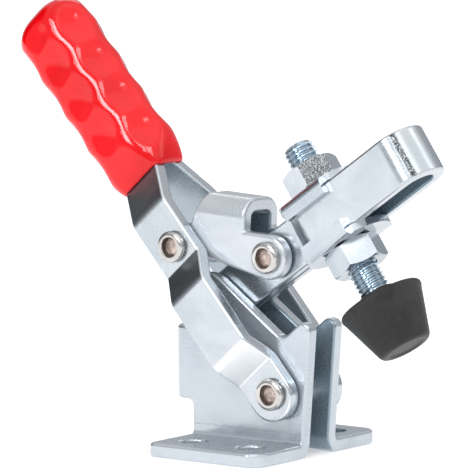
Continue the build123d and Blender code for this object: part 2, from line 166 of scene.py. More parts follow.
def put(obj: bpy.types.Object, matrix: Matrix) -> bpy.types.Object:
    """Move a piece by a matrix and write its place into its mesh.

    Args:
        obj: The piece, made about the origin.
        matrix: Where it goes in the clamp's own frame.

    Returns:
        The same object, at the origin, unturned and unscaled.
    """
    obj.matrix_world = matrix @ obj.matrix_world
    pick(obj)
    bpy.ops.object.transform_apply(location=True, rotation=True, scale=True)
    return obj


def soften(obj: bpy.types.Object, width: float, segments: int = 2, sharp: float = 30.0,
           clamped: bool = True) -> None:
    """Round the sharp edges of a piece and shade it smoothly between them.

    Args:
        obj: The piece.
        width: Width of the rounding in metres.
        segments: Steps across the rounding.
        sharp: Edges that turn by more than this many degrees are rounded.
        clamped: Whether short edges narrow the rounding of the whole piece.
    """
    apply_modifier(obj, "BEVEL", width=width, segments=segments, limit_method="ANGLE",
                   angle_limit=math.radians(sharp), miter_outer="MITER_SHARP", harden_normals=False,
                   use_clamp_overlap=clamped)
    pick(obj)
    bpy.ops.object.shade_smooth_by_angle(angle=math.radians(sharp + 6))
    apply_modifier(obj, "WEIGHTED_NORMAL", mode="FACE_AREA", weight=90, keep_sharp=True)


def loose_copy(node: str, name: str, flatten: float = 0.0) -> bpy.types.Object:
    """Copy of a CAD node, free of its body, with its doubled vertices welded.

    Args:
        node: The CAD node that gives the shape.
        name: Name of the new piece.
        flatten: Faces that meet at less than this many degrees become one; 0 leaves all.

    Returns:
        The new piece, at the origin.
    """
    pick(frame["nodes"][node])
    bpy.ops.object.duplicate()
    piece = bpy.context.object
    piece.name = name
    piece.parent = None
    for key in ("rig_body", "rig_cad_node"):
        del piece[key]
    bpy.ops.mesh.customdata_custom_splitnormals_clear()
    with editing(piece, everything=True):
        bpy.ops.mesh.remove_doubles(threshold=WELD)
        if flatten:
            bpy.ops.mesh.dissolve_limited(angle_limit=math.radians(flatten))
    return piece


def pressed_copy(node: str, name: str, edge: float, segments: int = 2,
                 clamped: bool = False) -> bpy.types.Object:
    """Copy of a sheet-metal node with its punched edges rounded.

    Args:
        node: The CAD node that gives the shape.
        name: Name of the new piece.
        edge: Width of the edge rounding in metres.
        segments: Steps across the rounding.
        clamped: Whether short edges narrow the rounding.

    Returns:
        The new piece, at the origin.
    """
    piece = loose_copy(node, name, FLATTEN)
    soften(piece, edge, segments, clamped=clamped)
    return piece


def turn(name: str, rings: Sequence[Ring], segments: int = 72) -> bpy.types.Object:
    """Turned solid about Z, raised ring by ring from a filled circle.

    Args:
        name: Name of the new piece.
        rings: Radius and height of each ring in metres, from the foot up.
        segments: Corners of each ring.

    Returns:
        The closed solid, its faces pointing outwards.
    """
    (radius, height), *rest = rings
    clear_selection()
    bpy.ops.mesh.primitive_circle_add(vertices=segments, radius=radius, fill_type="NGON",
                                      location=(0, 0, height))
    solid = put(bpy.context.object, Matrix.Identity(4))
    solid.name = name
    with editing(solid, everything=True):
        for next_radius, next_height in rest:
            bpy.ops.mesh.extrude_region_move(TRANSFORM_OT_translate={
                "value": (0, 0, next_height - height), "orient_type": "GLOBAL"})
            share = next_radius / radius
            bpy.ops.transform.resize(value=(share, share, 1), center_override=(0, 0, next_height))
            radius, height = next_radius, next_height
        bpy.ops.mesh.select_all(action="SELECT")
        bpy.ops.mesh.normals_make_consistent(inside=False)
    return solid


def profile_wire(name: str, points: Sequence[Ring]) -> bpy.types.Object:
    """Wire in the XZ plane, drawn by pulling one vertex from point to point.

    Args:
        name: Name of the new wire.
        points: Radius and height of each point in metres.

    Returns:
        An object whose mesh is the open wire.
    """
    clear_selection()
    bpy.ops.mesh.primitive_plane_add(size=MM, location=(0, 0, 0))
    wire = bpy.context.object
    wire.name = name
    with editing(wire, everything=True):
        bpy.ops.mesh.select_mode(type="VERT")
        bpy.ops.mesh.select_all(action="SELECT")
        bpy.ops.mesh.merge(type="CENTER")
        last = (0.0, 0.0)
        for index, (radius, height) in enumerate(points):
            step = (radius - last[0], 0, height - last[1])
            if index:
                bpy.ops.mesh.extrude_region_move(TRANSFORM_OT_translate={
                    "value": step, "orient_type": "GLOBAL"})
            else:
                bpy.ops.transform.translate(value=step, orient_type="GLOBAL")
            last = (radius, height)
    return wire


def dress(obj: bpy.types.Object, body: str, slot: str, nodes: Sequence[str],
          *materials: bpy.types.Material) -> bpy.types.Object:
    """Give a finished piece its materials, its body and the nodes it stands for.

    Args:
        obj: The finished piece.
        body: The CAD body it moves with.
        slot: The record's material slot; not used.
        nodes: The CAD nodes that it replaces.
        *materials: Its materials, in slot order.

    Returns:
        The same object.
    """
    obj.data.materials.clear()
    for material in materials:
        obj.data.materials.append(material)
    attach(obj, body)
    if nodes:
        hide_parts(*nodes)
    log.info("%s rides on %s: %d faces", obj.name, body, len(obj.data.polygons))
    return obj


def refinish(node: str, material: bpy.types.Material) -> None:
    """Give a CAD node that stays in view its finish."""
    materials = frame["nodes"][node].data.materials
    materials.clear()
    materials.append(material)


# ---------------------------------------------------------------- finishes
def srgb(red: int, green: int, blue: int) -> Colour:
    """Linear colour of an eight-bit display colour."""
    return tuple(((c / 255 + 0.055) / 1.055) ** 2.4 if c > 10 else c / 255 / 12.92
                 for c in (red, green, blue))


class Board:
    """A material's node tree while it is being wired."""

    def __init__(self, name: str) -> None:
        """Start an empty material.

        Args:
            name: The material's name.
        """
        self.material = bpy.data.materials.new(name)
        self.material.use_nodes = True
        self.tree = self.material.node_tree
        self.tree.nodes.clear()
        self.shader = self.tree.nodes.new("ShaderNodeBsdfPrincipled")
        output = self.tree.nodes.new("ShaderNodeOutputMaterial")
        self.tree.links.new(self.shader.outputs[0], output.inputs["Surface"])
        surface = self.tree.nodes.new("ShaderNodeTexCoord")
        self.place, self.normal = surface.outputs["Object"], surface.outputs["Normal"]

    def feed(self, socket: bpy.types.NodeSocket, value: object) -> None:
        """Link a socket to an output, or set its constant."""
        if isinstance(value, bpy.types.NodeSocket):
            self.tree.links.new(value, socket)
        elif isinstance(value, tuple) and len(value) == 3 and socket.type == "RGBA":
            socket.default_value = (*value, 1.0)
        else:
            socket.default_value = value

    def add(self, kind: str, inputs: dict[str | int, object] | None = None,
            **properties: object) -> bpy.types.Node:
        """Add a node.

        Args:
            kind: Blender's name of the node type.
            inputs: Sockets by name or number, each with an output to link or a constant.
            **properties: The node's own settings.

        Returns:
            The new node.
        """
        node = self.tree.nodes.new(kind)
        for key, value in properties.items():
            setattr(node, key, value)
        for key, value in (inputs or {}).items():
            self.feed(node.inputs[key], value)
        return node

    def noise(self, scale: float, detail: float = 3.0, vector: bpy.types.NodeSocket | None = None,
              distortion: float = 0.0) -> bpy.types.NodeSocket:
        """Noise value over the surface, at so many cells to the metre."""
        return self.add("ShaderNodeTexNoise", {
            "Vector": vector or self.place, "Scale": scale, "Detail": detail, "Roughness": 0.6,
            "Distortion": distortion}).outputs["Fac"]

    def ramp(self, value: bpy.types.NodeSocket, low: float, high: float, to_low: float = 0.0,
             to_high: float = 1.0) -> bpy.types.NodeSocket:
        """Smooth step of a value from low to high."""
        return self.add("ShaderNodeMapRange", {
            "Value": value, "From Min": low, "From Max": high, "To Min": to_low, "To Max": to_high,
        }, interpolation_type="SMOOTHSTEP").outputs["Result"]

    def maths(self, operation: str, first: object, second: object = 0.0) -> bpy.types.NodeSocket:
        """Result of an arithmetic node."""
        return self.add("ShaderNodeMath", {0: first, 1: second}, operation=operation).outputs[0]

    def mix(self, share: object, first: object, second: object) -> bpy.types.NodeSocket:
        """Colour between two others."""
        return self.add("ShaderNodeMix", {"Factor": share, 6: first, 7: second}, data_type="RGBA").outputs[2]

    def offset(self, start: Vector) -> bpy.types.NodeSocket:
        """The surface's place as seen from a point, in metres."""
        return self.add("ShaderNodeVectorMath", {0: self.place, 1: tuple(start)},
                        operation="SUBTRACT").outputs[0]

    def along(self, start: Vector, direction: Vector) -> bpy.types.NodeSocket:
        """Distance along a direction from a point, in metres."""
        return self.add("ShaderNodeVectorMath", {0: self.offset(start), 1: tuple(direction)},
                        operation="DOT_PRODUCT").outputs["Value"]

    def facing(self, direction: Vector, low: float, high: float) -> bpy.types.NodeSocket:
        """Share of the surface that faces a direction, rising between two cosines."""
        cosine = self.add("ShaderNodeVectorMath", {0: self.normal, 1: tuple(direction)},
                          operation="DOT_PRODUCT").outputs["Value"]
        return self.ramp(cosine, low, high)

    def inwards(self) -> bpy.types.NodeSocket:
        """Share of the surface that faces the clamp's middle plane."""
        place = self.add("ShaderNodeSeparateXYZ", {0: self.place}).outputs[1]
        normal = self.add("ShaderNodeSeparateXYZ", {0: self.normal}).outputs[1]
        side = self.add("ShaderNodeMath", {0: place}, operation="SIGN").outputs[0]
        return self.ramp(self.maths("MULTIPLY", side, normal), -0.25, -0.7)

    def radius(self, start: Vector, direction: Vector) -> bpy.types.NodeSocket:
        """Distance from an axis, in metres."""
        square = self.add("ShaderNodeVectorMath", {0: self.offset(start), 1: tuple(direction)},
                          operation="CROSS_PRODUCT").outputs[0]
        return self.add("ShaderNodeVectorMath", {0: square}, operation="LENGTH").outputs["Value"]

    def bump(self, *layers: tuple[bpy.types.NodeSocket, float]) -> None:
        """Raise the surface by heights, each with its depth in metres, one upon the other."""
        normal = None
        for height, depth in layers:
            inputs = {"Height": height, "Strength": 1.0, "Distance": depth}
            if normal is not None:
                inputs["Normal"] = normal
            normal = self.add("ShaderNodeBump", inputs).outputs["Normal"]
        self.feed(self.shader.inputs["Normal"], normal)

    def set(self, **constants: object) -> None:
        """Set constants on the shader's own sockets, spaces written as underscores."""
        for key, value in constants.items():
            self.feed(self.shader.inputs[key.replace("_", " ")], value)


@dataclass(frozen=True)
class PaintedLightBand:
    """A mottled band of painted reflection and painted shade across a plated surface, measured along a
    direction.
    """

    start: Vector
    direction: Vector
    low: float
    high: float
    low_edge: float = 0.3 * MM
    high_edge: float = 0.3 * MM
    strength: float = 1.0
    facing: Vector | None = None
    cell: float = 1500
    # The painted colour that the band lays over the plating.
    tone: Colour = srgb(46, 49, 53)
    thinnest: float = 0.42


def bend_lines() -> tuple[PaintedLightBand, ...]:
    """Faint painted shade line on both sides of the bracket, where its sheet starts to bend."""
    low, high, fade, strength = 6.35 * MM, 6.6 * MM, 0.12 * MM, 0.3
    return tuple(PaintedLightBand(LEVEL.point(0), LEVEL.up(), low, high, fade, fade, strength, Vector((0, side, 0)))
                 for side in (-1, 1))


def slope_bands() -> tuple[PaintedLightBand, ...]:
    """Painted dark reflection on the upper slopes and painted bright reflection on the lower slopes of the
    joggles in both strips.
    """
    lean, outwards, split, top = 0.55, 0.83, 0.03, 0.2
    painted_bands = []
    for side in (-1, 1):
        upper = HANDLE_AXES.direction() * lean + Vector((0, outwards * side, 0))
        lower = HANDLE_AXES.direction() * -lean + Vector((0, outwards * side, 0))
        painted_bands += [PaintedLightBand(LEVEL.point(0), LEVEL.up(), split, top, strength=0.55, facing=upper,
                           tone=srgb(24, 26, 29), thinnest=0.9),
                  PaintedLightBand(LEVEL.point(0), LEVEL.up(), 0.0, split, strength=0.9, facing=lower,
                           tone=srgb(250, 251, 252), thinnest=0.95)]
    return tuple(painted_bands)


def nose_band() -> PaintedLightBand:
    """Narrow painted dark reflection where the bar's side starts to turn into its nose."""
    along = BAR_AXES.direction()
    return PaintedLightBand(BAR_AXES.point(0), along, 71.5 * MM, 72.7 * MM, 0.2 * MM, 0.3 * MM, 0.97,
                    along * 0.68 + Vector((0, -0.733, 0)), 2300)


def painted_facet_reflection() -> PaintedLightBand:
    """Painted dark reflection, mottled, on the upper nut's facet that faces forward and to the right."""
    along, facet_turn = BAR_AXES.direction(), math.radians(43.8)
    facet = along * math.cos(facet_turn) + Vector((0, -math.sin(facet_turn), 0))
    return PaintedLightBand(BAR_AXES.point(0), along, 0.0, 0.1, strength=0.85, facing=facet, cell=2600)


class Grain(Enum):
    """How the metal under the plating was worked: streak length, streak share and pit share."""

    ROLLED = (0.16, 0.35, 0.4)
    DRAWN = (0.05, 0.6, 0.25)
    TURNED = (1.0, 0.15, 0.3)


@dataclass(frozen=True)
class ZincPlating:
    """Bright bluish zinc on steel, with the grain of the worked metal under it."""

    name: str
    light: Colour = srgb(203, 208, 213)
    dark: Colour = srgb(182, 190, 198)
    roughness: float = 0.17
    grain: Grain = Grain.ROLLED
    grain_axes: Axes = BAR_AXES
    # Bands of painted reflection and painted shade laid over the plating.
    painted_bands: tuple[PaintedLightBand, ...] = ()
    # Painted shade: a darker, bluer, less metallic colour for faces that look into the clamp's middle, mixed
    # in by the share below.
    inner: Colour = srgb(112, 136, 150)
    inner_shade_share: float = 0.0
    metallic: float = 0.92
    # Painted shade in a thread's valleys: axis point, axis direction, root and crest radius.
    valley_shade: tuple[Vector, Vector, float, float] | None = None

    def _band_mask(self, board: Board, band: PaintedLightBand) -> bpy.types.NodeSocket:
        """Share of one band of painted reflection and shade at each point of the surface."""
        wander = board.maths("MULTIPLY", board.noise(500, 3.0), 0.6 * MM)
        place = board.maths("ADD", board.along(band.start, band.direction), wander)
        rise = board.ramp(place, band.low - band.low_edge, band.low + band.low_edge)
        fall = board.ramp(place, band.high - band.high_edge, band.high + band.high_edge, 1.0, 0.0)
        mask = board.maths("MULTIPLY", rise, fall)
        if band.facing:
            mask = board.maths("MULTIPLY", mask, board.facing(band.facing, 0.88, 0.96))
        speckle = board.ramp(board.noise(band.cell, 3.0), 0.38, 0.56, band.thinnest, 1.0)
        return board.maths("MULTIPLY", board.maths("MULTIPLY", mask, speckle), band.strength)

    def make(self) -> bpy.types.Material:
        """Wire the material."""
        board = Board(self.name)
        length, streak_share, pit_share = self.grain.value
        turned = board.add("ShaderNodeMapping", {"Vector": board.place, "Location": (0, 0, 0),
                                                 "Rotation": (0, self.grain_axes.tilt, 0),
                                                 "Scale": (length, 1, 1)}).outputs[0]
        clouds = board.ramp(board.noise(55, 3.0, distortion=0.6), 0.35, 0.68)
        streaks = board.noise(900, 4.0, turned)
        pits = board.noise(2600, 2.0)
        colour = board.mix(board.maths("MULTIPLY", clouds, 0.5), self.light, self.dark)
        colour = board.mix(board.ramp(streaks, 0.45, 0.75, 0.0, 0.25), colour, self.dark)
        gloss = board.ramp(clouds, 0.0, 1.0, self.roughness - 0.04, self.roughness + 0.05)
        gloss = board.maths("ADD", gloss, board.ramp(pits, 0.3, 0.7, 0.0, 0.08))
        # Painted reflection and shade: each band mixes its painted colour in over its mask.
        for band in self.painted_bands:
            mask = self._band_mask(board, band)
            colour = board.mix(mask, colour, band.tone)
            gloss = board.maths("ADD", gloss, board.maths("MULTIPLY", mask, 0.25))
        # Painted shade, darkest and bluest at the thread's root.
        if self.valley_shade:
            start, direction, root, crest = self.valley_shade
            shade = board.ramp(board.radius(start, direction), root, crest, 0.4, 0.0)
            colour = board.mix(shade, colour, srgb(44, 56, 66))
        # Painted shade on faces that look into the clamp's middle, where shade falls between the parts.
        if self.inner_shade_share:
            inside = board.maths("MULTIPLY", board.inwards(), self.inner_shade_share)
            colour = board.mix(inside, colour, self.inner)
            gloss = board.maths("ADD", gloss, board.maths("MULTIPLY", inside, 0.12))
            board.set(Metallic=board.ramp(inside, 0.0, 1.0, self.metallic, 0.5))
        else:
            board.set(Metallic=self.metallic)
        board.set(Base_Color=colour, Roughness=gloss, Specular_IOR_Level=0.5)
        board.bump((streaks, 0.004 * MM * streak_share / 0.35), (pits, 0.004 * MM * pit_share / 0.4))
        return board.material


@dataclass(frozen=True)
class BareRivetFloor:
    """Bare, slightly warm steel at the bottom of a rivet's dish."""

    name: str = "rivet_dish"
    light: Colour = srgb(216, 200, 192)
    dark: Colour = srgb(150, 132, 124)

    def make(self) -> bpy.types.Material:
        """Wire the material."""
        board = Board(self.name)
        clouds = board.ramp(board.noise(650, 3.0, distortion=0.8), 0.35, 0.65)
        board.set(Base_Color=board.mix(clouds, self.light, self.dark), Metallic=0.55,
                  Roughness=board.ramp(board.noise(2400), 0.3, 0.7, 0.35, 0.55))
        board.bump((clouds, 0.02 * MM))
        return board.material


@dataclass(frozen=True)
class DippedVinyl:
    """Glossy dipped vinyl with a faintly uneven skin."""

    name: str = "dipped_vinyl"
    light: Colour = srgb(224, 14, 24)
    deep: Colour = srgb(208, 6, 14)

    def make(self) -> bpy.types.Material:
        """Wire the material."""
        board = Board(self.name)
        clouds = board.ramp(board.noise(70, 2.0), 0.3, 0.7)
        skin = board.noise(330, 2.0, distortion=0.4)
        specks = board.noise(3000, 2.0)
        board.set(Base_Color=board.mix(clouds, self.light, self.deep), Metallic=0.0,
                  Roughness=board.ramp(specks, 0.3, 0.7, 0.06, 0.11), Specular_IOR_Level=0.42)
        board.bump((skin, 0.02 * MM), (specks, 0.0006 * MM))
        return board.material


@dataclass(frozen=True)
class MouldedRubber:
    """Matt black rubber with a fine moulded skin, dusty places and a slightly lighter, mottled face that
    looks down the spindle.
    """

    name: str = "moulded_rubber"
    light: Colour = srgb(40, 40, 41)
    deep: Colour = srgb(23, 23, 24)
    sole: Colour = srgb(46, 46, 47)

    def make(self) -> bpy.types.Material:
        """Wire the material."""
        board = Board(self.name)
        dust = board.ramp(board.noise(160, 4.0, distortion=0.5), 0.4, 0.75)
        skin = board.noise(2200, 3.0)
        downward_mottle = board.maths("MULTIPLY", board.facing(-BAR_AXES.up(), 0.75, 0.95),
                           board.ramp(skin, 0.35, 0.6, 0.35, 1.0))
        side = board.mix(dust, self.deep, self.light)
        board.set(Base_Color=board.mix(downward_mottle, side, self.sole), Metallic=0.0,
                  Roughness=board.ramp(skin, 0.3, 0.7, 0.48, 0.66), Specular_IOR_Level=0.4, Sheen_Weight=0.08,
                  Sheen_Roughness=0.5)
        board.bump((skin, 0.02 * MM), (dust, 0.02 * MM))
        return board.material


@dataclass(frozen=True)
class StudioPaper:
    """Plain pale paper that the clamp stands on."""

    name: str = "studio_paper"
    colour: Colour = (0.92, 0.92, 0.925)
    fibre: Colour = (0.85, 0.85, 0.86)
    glow: float = 0.36

    def make(self) -> bpy.types.Material:
        """Wire the material."""
        board = Board(self.name)
        fibre = board.noise(900, 2.0)
        grey = board.ramp(fibre, 0.3, 0.7, 0.0, 0.03)
        board.set(Base_Color=board.mix(grey, self.colour, self.fibre), Roughness=0.95, Specular_IOR_Level=0.1,
                  Emission_Color=(1.0, 1.0, 1.0), Emission_Strength=self.glow)
        return board.material


# ---------------------------------------------------------------- sub-assemblies
@dataclass
class RivetHead:
    """Sizes of the dished round heads that every rivet of the clamp has."""

    shank: float = 2.7 * MM
    rim: float = 4.0 * MM
    height: float = 1.75 * MM
    collar: float = 3.55 * MM
    crown: float = 3.3 * MM
    dish: float = 2.45 * MM
    floor: float = 2.15 * MM
    depth: float = 1.5 * MM

    def outline(self, face: float, outwards: float) -> list[Ring]:
        """Rings of one head from its dish floor to the plate.

        Args:
            face: Height of the plate's face.
            outwards: 1 for a head above the plate and -1 for one below it.

        Returns:
            The rings, floor first.
        """
        top = self.height
        steps = [
            (self.floor * 0.5, top - self.depth + 0.2 * MM),
            (self.floor * 0.85, top - self.depth + 0.12 * MM),
            (self.floor, top - self.depth),
            (self.dish - 0.1 * MM, top - 0.5 * MM),
            (self.dish, top - 0.22 * MM),
            (self.dish + 0.12 * MM, top - 0.04 * MM),
            (self.dish + 0.35 * MM, top),
            (self.crown, top - 0.05 * MM),
            (self.rim - 0.35 * MM, top - 0.22 * MM),
            (self.rim - 0.1 * MM, top - 0.5 * MM),
            (self.rim, top - 0.85 * MM),
            (self.rim - 0.05 * MM, 0.7 * MM),
            (self.collar, 0.55 * MM),
            (self.collar, 0.0),
            (self.shank, 0.0),
        ]
        return [(radius, face + outwards * height) for radius, height in steps]


@dataclass
class RivetMaker:
    """Makes each rivet as one turned solid along Y."""

    head: RivetHead
    plating: bpy.types.Material
    dish: bpy.types.Material
    # Painted shade: the dark colour of the dish wall inside each head.
    dish_wall_shade: bpy.types.Material

    def make(self, name: str, node: str, body: str, centre: tuple[float, float], low: float, high: float,
             heads: tuple[bool, bool] = (True, True)) -> bpy.types.Object:
        """Turn one rivet and put it in place.

        Args:
            name: Name of the piece.
            node: The CAD node that it replaces.
            body: The CAD body it moves with.
            centre: Side-view place of its axis.
            low: Y of the plate face at its right-hand end.
            high: Y of the plate face at its left-hand end.
            heads: Whether the right-hand and the left-hand ends have a head.

        Returns:
            The dressed rivet.
        """
        rings = self.head.outline(low, -1) if heads[0] else [(self.head.shank, low)]
        rings += self.head.outline(high, 1)[::-1] if heads[1] else [(self.head.shank, high)]
        piece = turn(name, rings)
        # Floor faces take the dish material; the dish wall takes the painted shade.
        for face in piece.data.polygons:
            reach = max(math.hypot(*piece.data.vertices[v].co.xy) for v in face.vertices)
            in_floor, in_dish = reach < self.head.floor * 1.01, reach < self.head.dish * 1.01
            face.material_index = 1 if in_floor else 2 if in_dish else 0
        put(piece, Matrix.Translation((centre[0], 0, centre[1])) @ Matrix.Rotation(-math.pi / 2, 4, "X"))
        pick(piece)
        bpy.ops.object.shade_smooth_by_angle(angle=math.radians(40))
        indices = [face.material_index for face in piece.data.polygons]
        dress(piece, body, "nickel_rivet", [node], self.plating, self.dish, self.dish_wall_shade)
        for face, index in zip(piece.data.polygons, indices):
            face.material_index = index
        return piece


@dataclass
class Base:
    """Folded base bracket with its spacer, bush and two rivets."""

    rivets: RivetMaker
    zinc: bpy.types.Material
    turned: bpy.types.Material
    edge: float = 0.75 * MM
    half_width: float = 7.1 * MM
    strip_face: float = 11.1 * MM

    def build(self) -> None:
        """Make and dress the pieces of the base."""
        dress(pressed_copy("base_bracket", "bracket_sheet", self.edge, 4), "base", "zinc_sheet",
              ["base_bracket"], self.zinc)
        self.rivets.make("handle_pivot_rivet", "base_rivet", "base", HANDLE_PIVOT,
                         -self.strip_face, self.strip_face)
        self.rivets.make("arm_pivot_rivet", "arm_rivet", "base", (BAR_AXES.x, BAR_AXES.z),
                         -self.half_width, self.half_width)
        for node in ("base_spacer", "arm_bush"):
            refinish(node, self.turned)


@dataclass
class Handle:
    """Two joggled strips, their short rivets and the dipped grip."""

    rivets: RivetMaker
    zinc: bpy.types.Material
    vinyl: bpy.types.Material
    edge: float = 0.65 * MM
    inner_face: float = 7.6 * MM
    outer_face: float = 11.1 * MM
    grip_cell: float = 0.36 * MM
    grip_smoothing: int = 120
    grip: bpy.types.Object | None = field(default=None, init=False)

    def _grip(self) -> bpy.types.Object:
        """Grip with its ridges melted round, as dipping leaves them."""
        grip = loose_copy("handle_grip", "dipped_grip")
        apply_modifier(grip, "REMESH", mode="VOXEL", voxel_size=self.grip_cell, adaptivity=0.0,
                       use_smooth_shade=True)
        apply_modifier(grip, "SMOOTH", factor=0.5, iterations=self.grip_smoothing)
        pick(grip)
        bpy.ops.object.shade_smooth()
        return grip

    def build(self) -> None:
        """Make and dress the pieces of the handle."""
        for side in ("left", "right"):
            node = f"handle_strip_{side}"
            dress(pressed_copy(node, f"{side}_strip_sheet", self.edge, 4), "handle", "zinc_sheet",
                  [node], self.zinc)
        ends = {"right": (-self.outer_face, -self.inner_face, (True, False)),
                "left": (self.inner_face, self.outer_face, (False, True))}
        for side, (low, high, heads) in ends.items():
            self.rivets.make(f"{side}_link_stud", f"handle_rivet_{side}", "handle", LINK_END,
                             low, high, heads)
        self.grip = dress(self._grip(), "handle", "red_grip", ["handle_grip"], self.vinyl)


@dataclass
class Link:
    """Channel link with the rivet and bush of its front end."""

    rivets: RivetMaker
    zinc: bpy.types.Material
    turned: bpy.types.Material
    edge: float = 0.8 * MM
    half_width: float = 7.3 * MM

    def build(self) -> None:
        """Make and dress the pieces of the link."""
        dress(pressed_copy("link_channel", "channel_sheet", self.edge, 4), "link", "zinc_sheet",
              ["link_channel"], self.zinc)
        pivot = BAR_AXES.point(*LINK_ON_BAR)
        self.rivets.make("link_pivot_rivet", "link_rivet", "link", (pivot.x, pivot.z),
                         -self.half_width, self.half_width)
        refinish("link_bush", self.turned)


@dataclass
class Arm:
    """U-shaped bar that carries the spindle in its slot."""

    zinc: bpy.types.Material
    edge: float = 0.65 * MM

    def build(self) -> None:
        """Make and dress the arm."""
        dress(pressed_copy("clamp_arm", "arm_bar", self.edge, 4), "arm", "zinc_sheet",
              ["clamp_arm"], self.zinc)


@dataclass
class SpindleSet:
    """Washers, nuts, threaded spindle and rubber tip on the arm."""

    fastener: bpy.types.Material
    thread: bpy.types.Material
    rubber: bpy.types.Material
    # Zinc with a painted dark reflection on the facet that faces forward and to the right, for the upper nut.
    upper_nut_painted_zinc: bpy.types.Material
    crest: float = 3.98 * MM
    root: float = 3.32 * MM
    pitch: float = 1.25 * MM
    top: float = 19.8 * MM
    bottom: float = -34.0 * MM
    head_radius: float = 5.5 * MM
    head_height: float = 3.0 * MM
    chamfer: float = 0.8 * MM
    tip_rim: float = 10.9 * MM
    tip_foot: float = 6.7 * MM
    tip_neck: float = 5.0 * MM
    tip_top: float = -24.3 * MM
    tip_height: float = 14.0 * MM
    edge: float = 0.22 * MM

    def _axis(self) -> Matrix:
        """Matrix from the spindle's own frame, Z along it, to the clamp's."""
        return BAR_AXES.matrix() @ Matrix.Translation((SPINDLE_ON_BAR, 0, 0))

    def _thread(self) -> bpy.types.Object:
        """Rolled thread: one closed ridge wound about a chamfered core."""
        core = turn("spindle_core", [
            (self.head_radius, self.bottom - self.head_height),
            (self.head_radius, self.bottom),
            (self.root, self.bottom),
            (self.root, self.top - self.chamfer * 0.5),
            (self.root - 0.25 * MM, self.top),
            (self.root * 0.5, self.top),
        ])
        low, high = -25.0 * MM, self.top + self.pitch
        flank = (self.crest - self.root + 0.12 * MM) * math.tan(math.radians(30))
        land = self.pitch / 8
        inner, outer = self.root - 0.12 * MM, self.crest
        ridge = profile_wire("spindle_ridge", [
            (inner, -flank - land / 2), (outer - 0.1 * MM, -land / 2 - 0.05 * MM), (outer, -land / 4),
            (outer, land / 4), (outer - 0.1 * MM, land / 2 + 0.05 * MM), (inner, flank + land / 2)])
        with editing(ridge):
            bpy.ops.mesh.select_mode(type="VERT")
            bpy.ops.mesh.select_all(action="SELECT")
            bpy.ops.mesh.edge_face_add()
            bpy.ops.mesh.delete(type="ONLY_FACE")
        turns = math.ceil((high - low) / self.pitch)
        put(ridge, Matrix.Translation((0, 0, low)))
        apply_modifier(ridge, "SCREW", axis="Z", angle=2 * math.pi, screw_offset=self.pitch, iterations=turns,
                       steps=40, render_steps=40, use_merge_vertices=False, use_smooth_shade=True)
        with editing(ridge, everything=True):
            bpy.ops.mesh.select_mode(type="VERT")
            bpy.ops.mesh.select_all(action="DESELECT")
            bpy.ops.mesh.select_non_manifold()
            bpy.ops.mesh.edge_face_add()
            bpy.ops.mesh.select_all(action="SELECT")
            bpy.ops.mesh.bisect(plane_co=(0, 0, self.top - 0.12 * MM), plane_no=(0, 0, 1), use_fill=True,
                                clear_outer=True)
            bpy.ops.mesh.select_all(action="SELECT")
            bpy.ops.mesh.normals_make_consistent(inside=False)
        for vertex in ridge.data.vertices:
            allowed = self.crest - max(0.0, vertex.co.z - (self.top - self.chamfer))
            radius = math.hypot(vertex.co.x, vertex.co.y)
            if radius > allowed:
                vertex.co.x *= allowed / radius
                vertex.co.y *= allowed / radius
        pick(core)
        ridge.select_set(True)
        bpy.ops.object.join()
        core.name = "threaded_spindle"
        put(core, self._axis())
        pick(core)
        bpy.ops.object.shade_smooth_by_angle(angle=math.radians(35))
        return core

    def _rubber(self) -> bpy.types.Object:
        """Tapered rubber foot with a rim, a shoulder and a short neck."""
        foot = self.tip_top - self.tip_height
        tip = turn("rubber_foot", [
            (self.tip_foot * 0.62, foot + 0.35 * MM),
            (self.tip_foot * 0.7, foot + 0.02 * MM),
            (self.tip_foot - 0.9 * MM, foot),
            (self.tip_foot - 0.25 * MM, foot + 0.3 * MM),
            (self.tip_foot + 0.3 * MM, foot + 1.1 * MM),
            (self.tip_rim - 0.35 * MM, self.tip_top - 1.9 * MM),
            (self.tip_rim, self.tip_top - 1.2 * MM),
            (self.tip_rim, self.tip_top - 0.6 * MM),
            (self.tip_rim - 0.3 * MM, self.tip_top - 0.12 * MM),
            (self.tip_rim - 1.0 * MM, self.tip_top + 0.08 * MM),
            (self.tip_neck + 0.8 * MM, self.tip_top + 0.6 * MM),
            (self.tip_neck, self.tip_top + 0.9 * MM),
            (self.tip_neck - 0.05 * MM, self.tip_top + 1.6 * MM),
            (self.tip_neck - 0.3 * MM, self.tip_top + 1.8 * MM),
            (self.root - 0.1 * MM, self.tip_top + 1.8 * MM),
        ], 96)
        put(tip, self._axis())
        soften(tip, 0.25 * MM, 3, 18)
        return tip

    def build(self) -> None:
        """Make and dress the spindle and everything on it."""
        for place in ("upper", "lower"):
            refinish(f"{place}_washer", self.fastener)
            finish = self.upper_nut_painted_zinc if place == "upper" else self.fastener
            dress(pressed_copy(f"{place}_nut", f"{place}_hex_nut", self.edge * 0.8, 2, True), "washers",
                  "zinc_fastener", [f"{place}_nut"], finish)
        dress(self._thread(), "spindle", "zinc_thread", ["spindle"], self.thread)
        dress(self._rubber(), "spindle", "black_rubber", ["rubber_tip"], self.rubber)


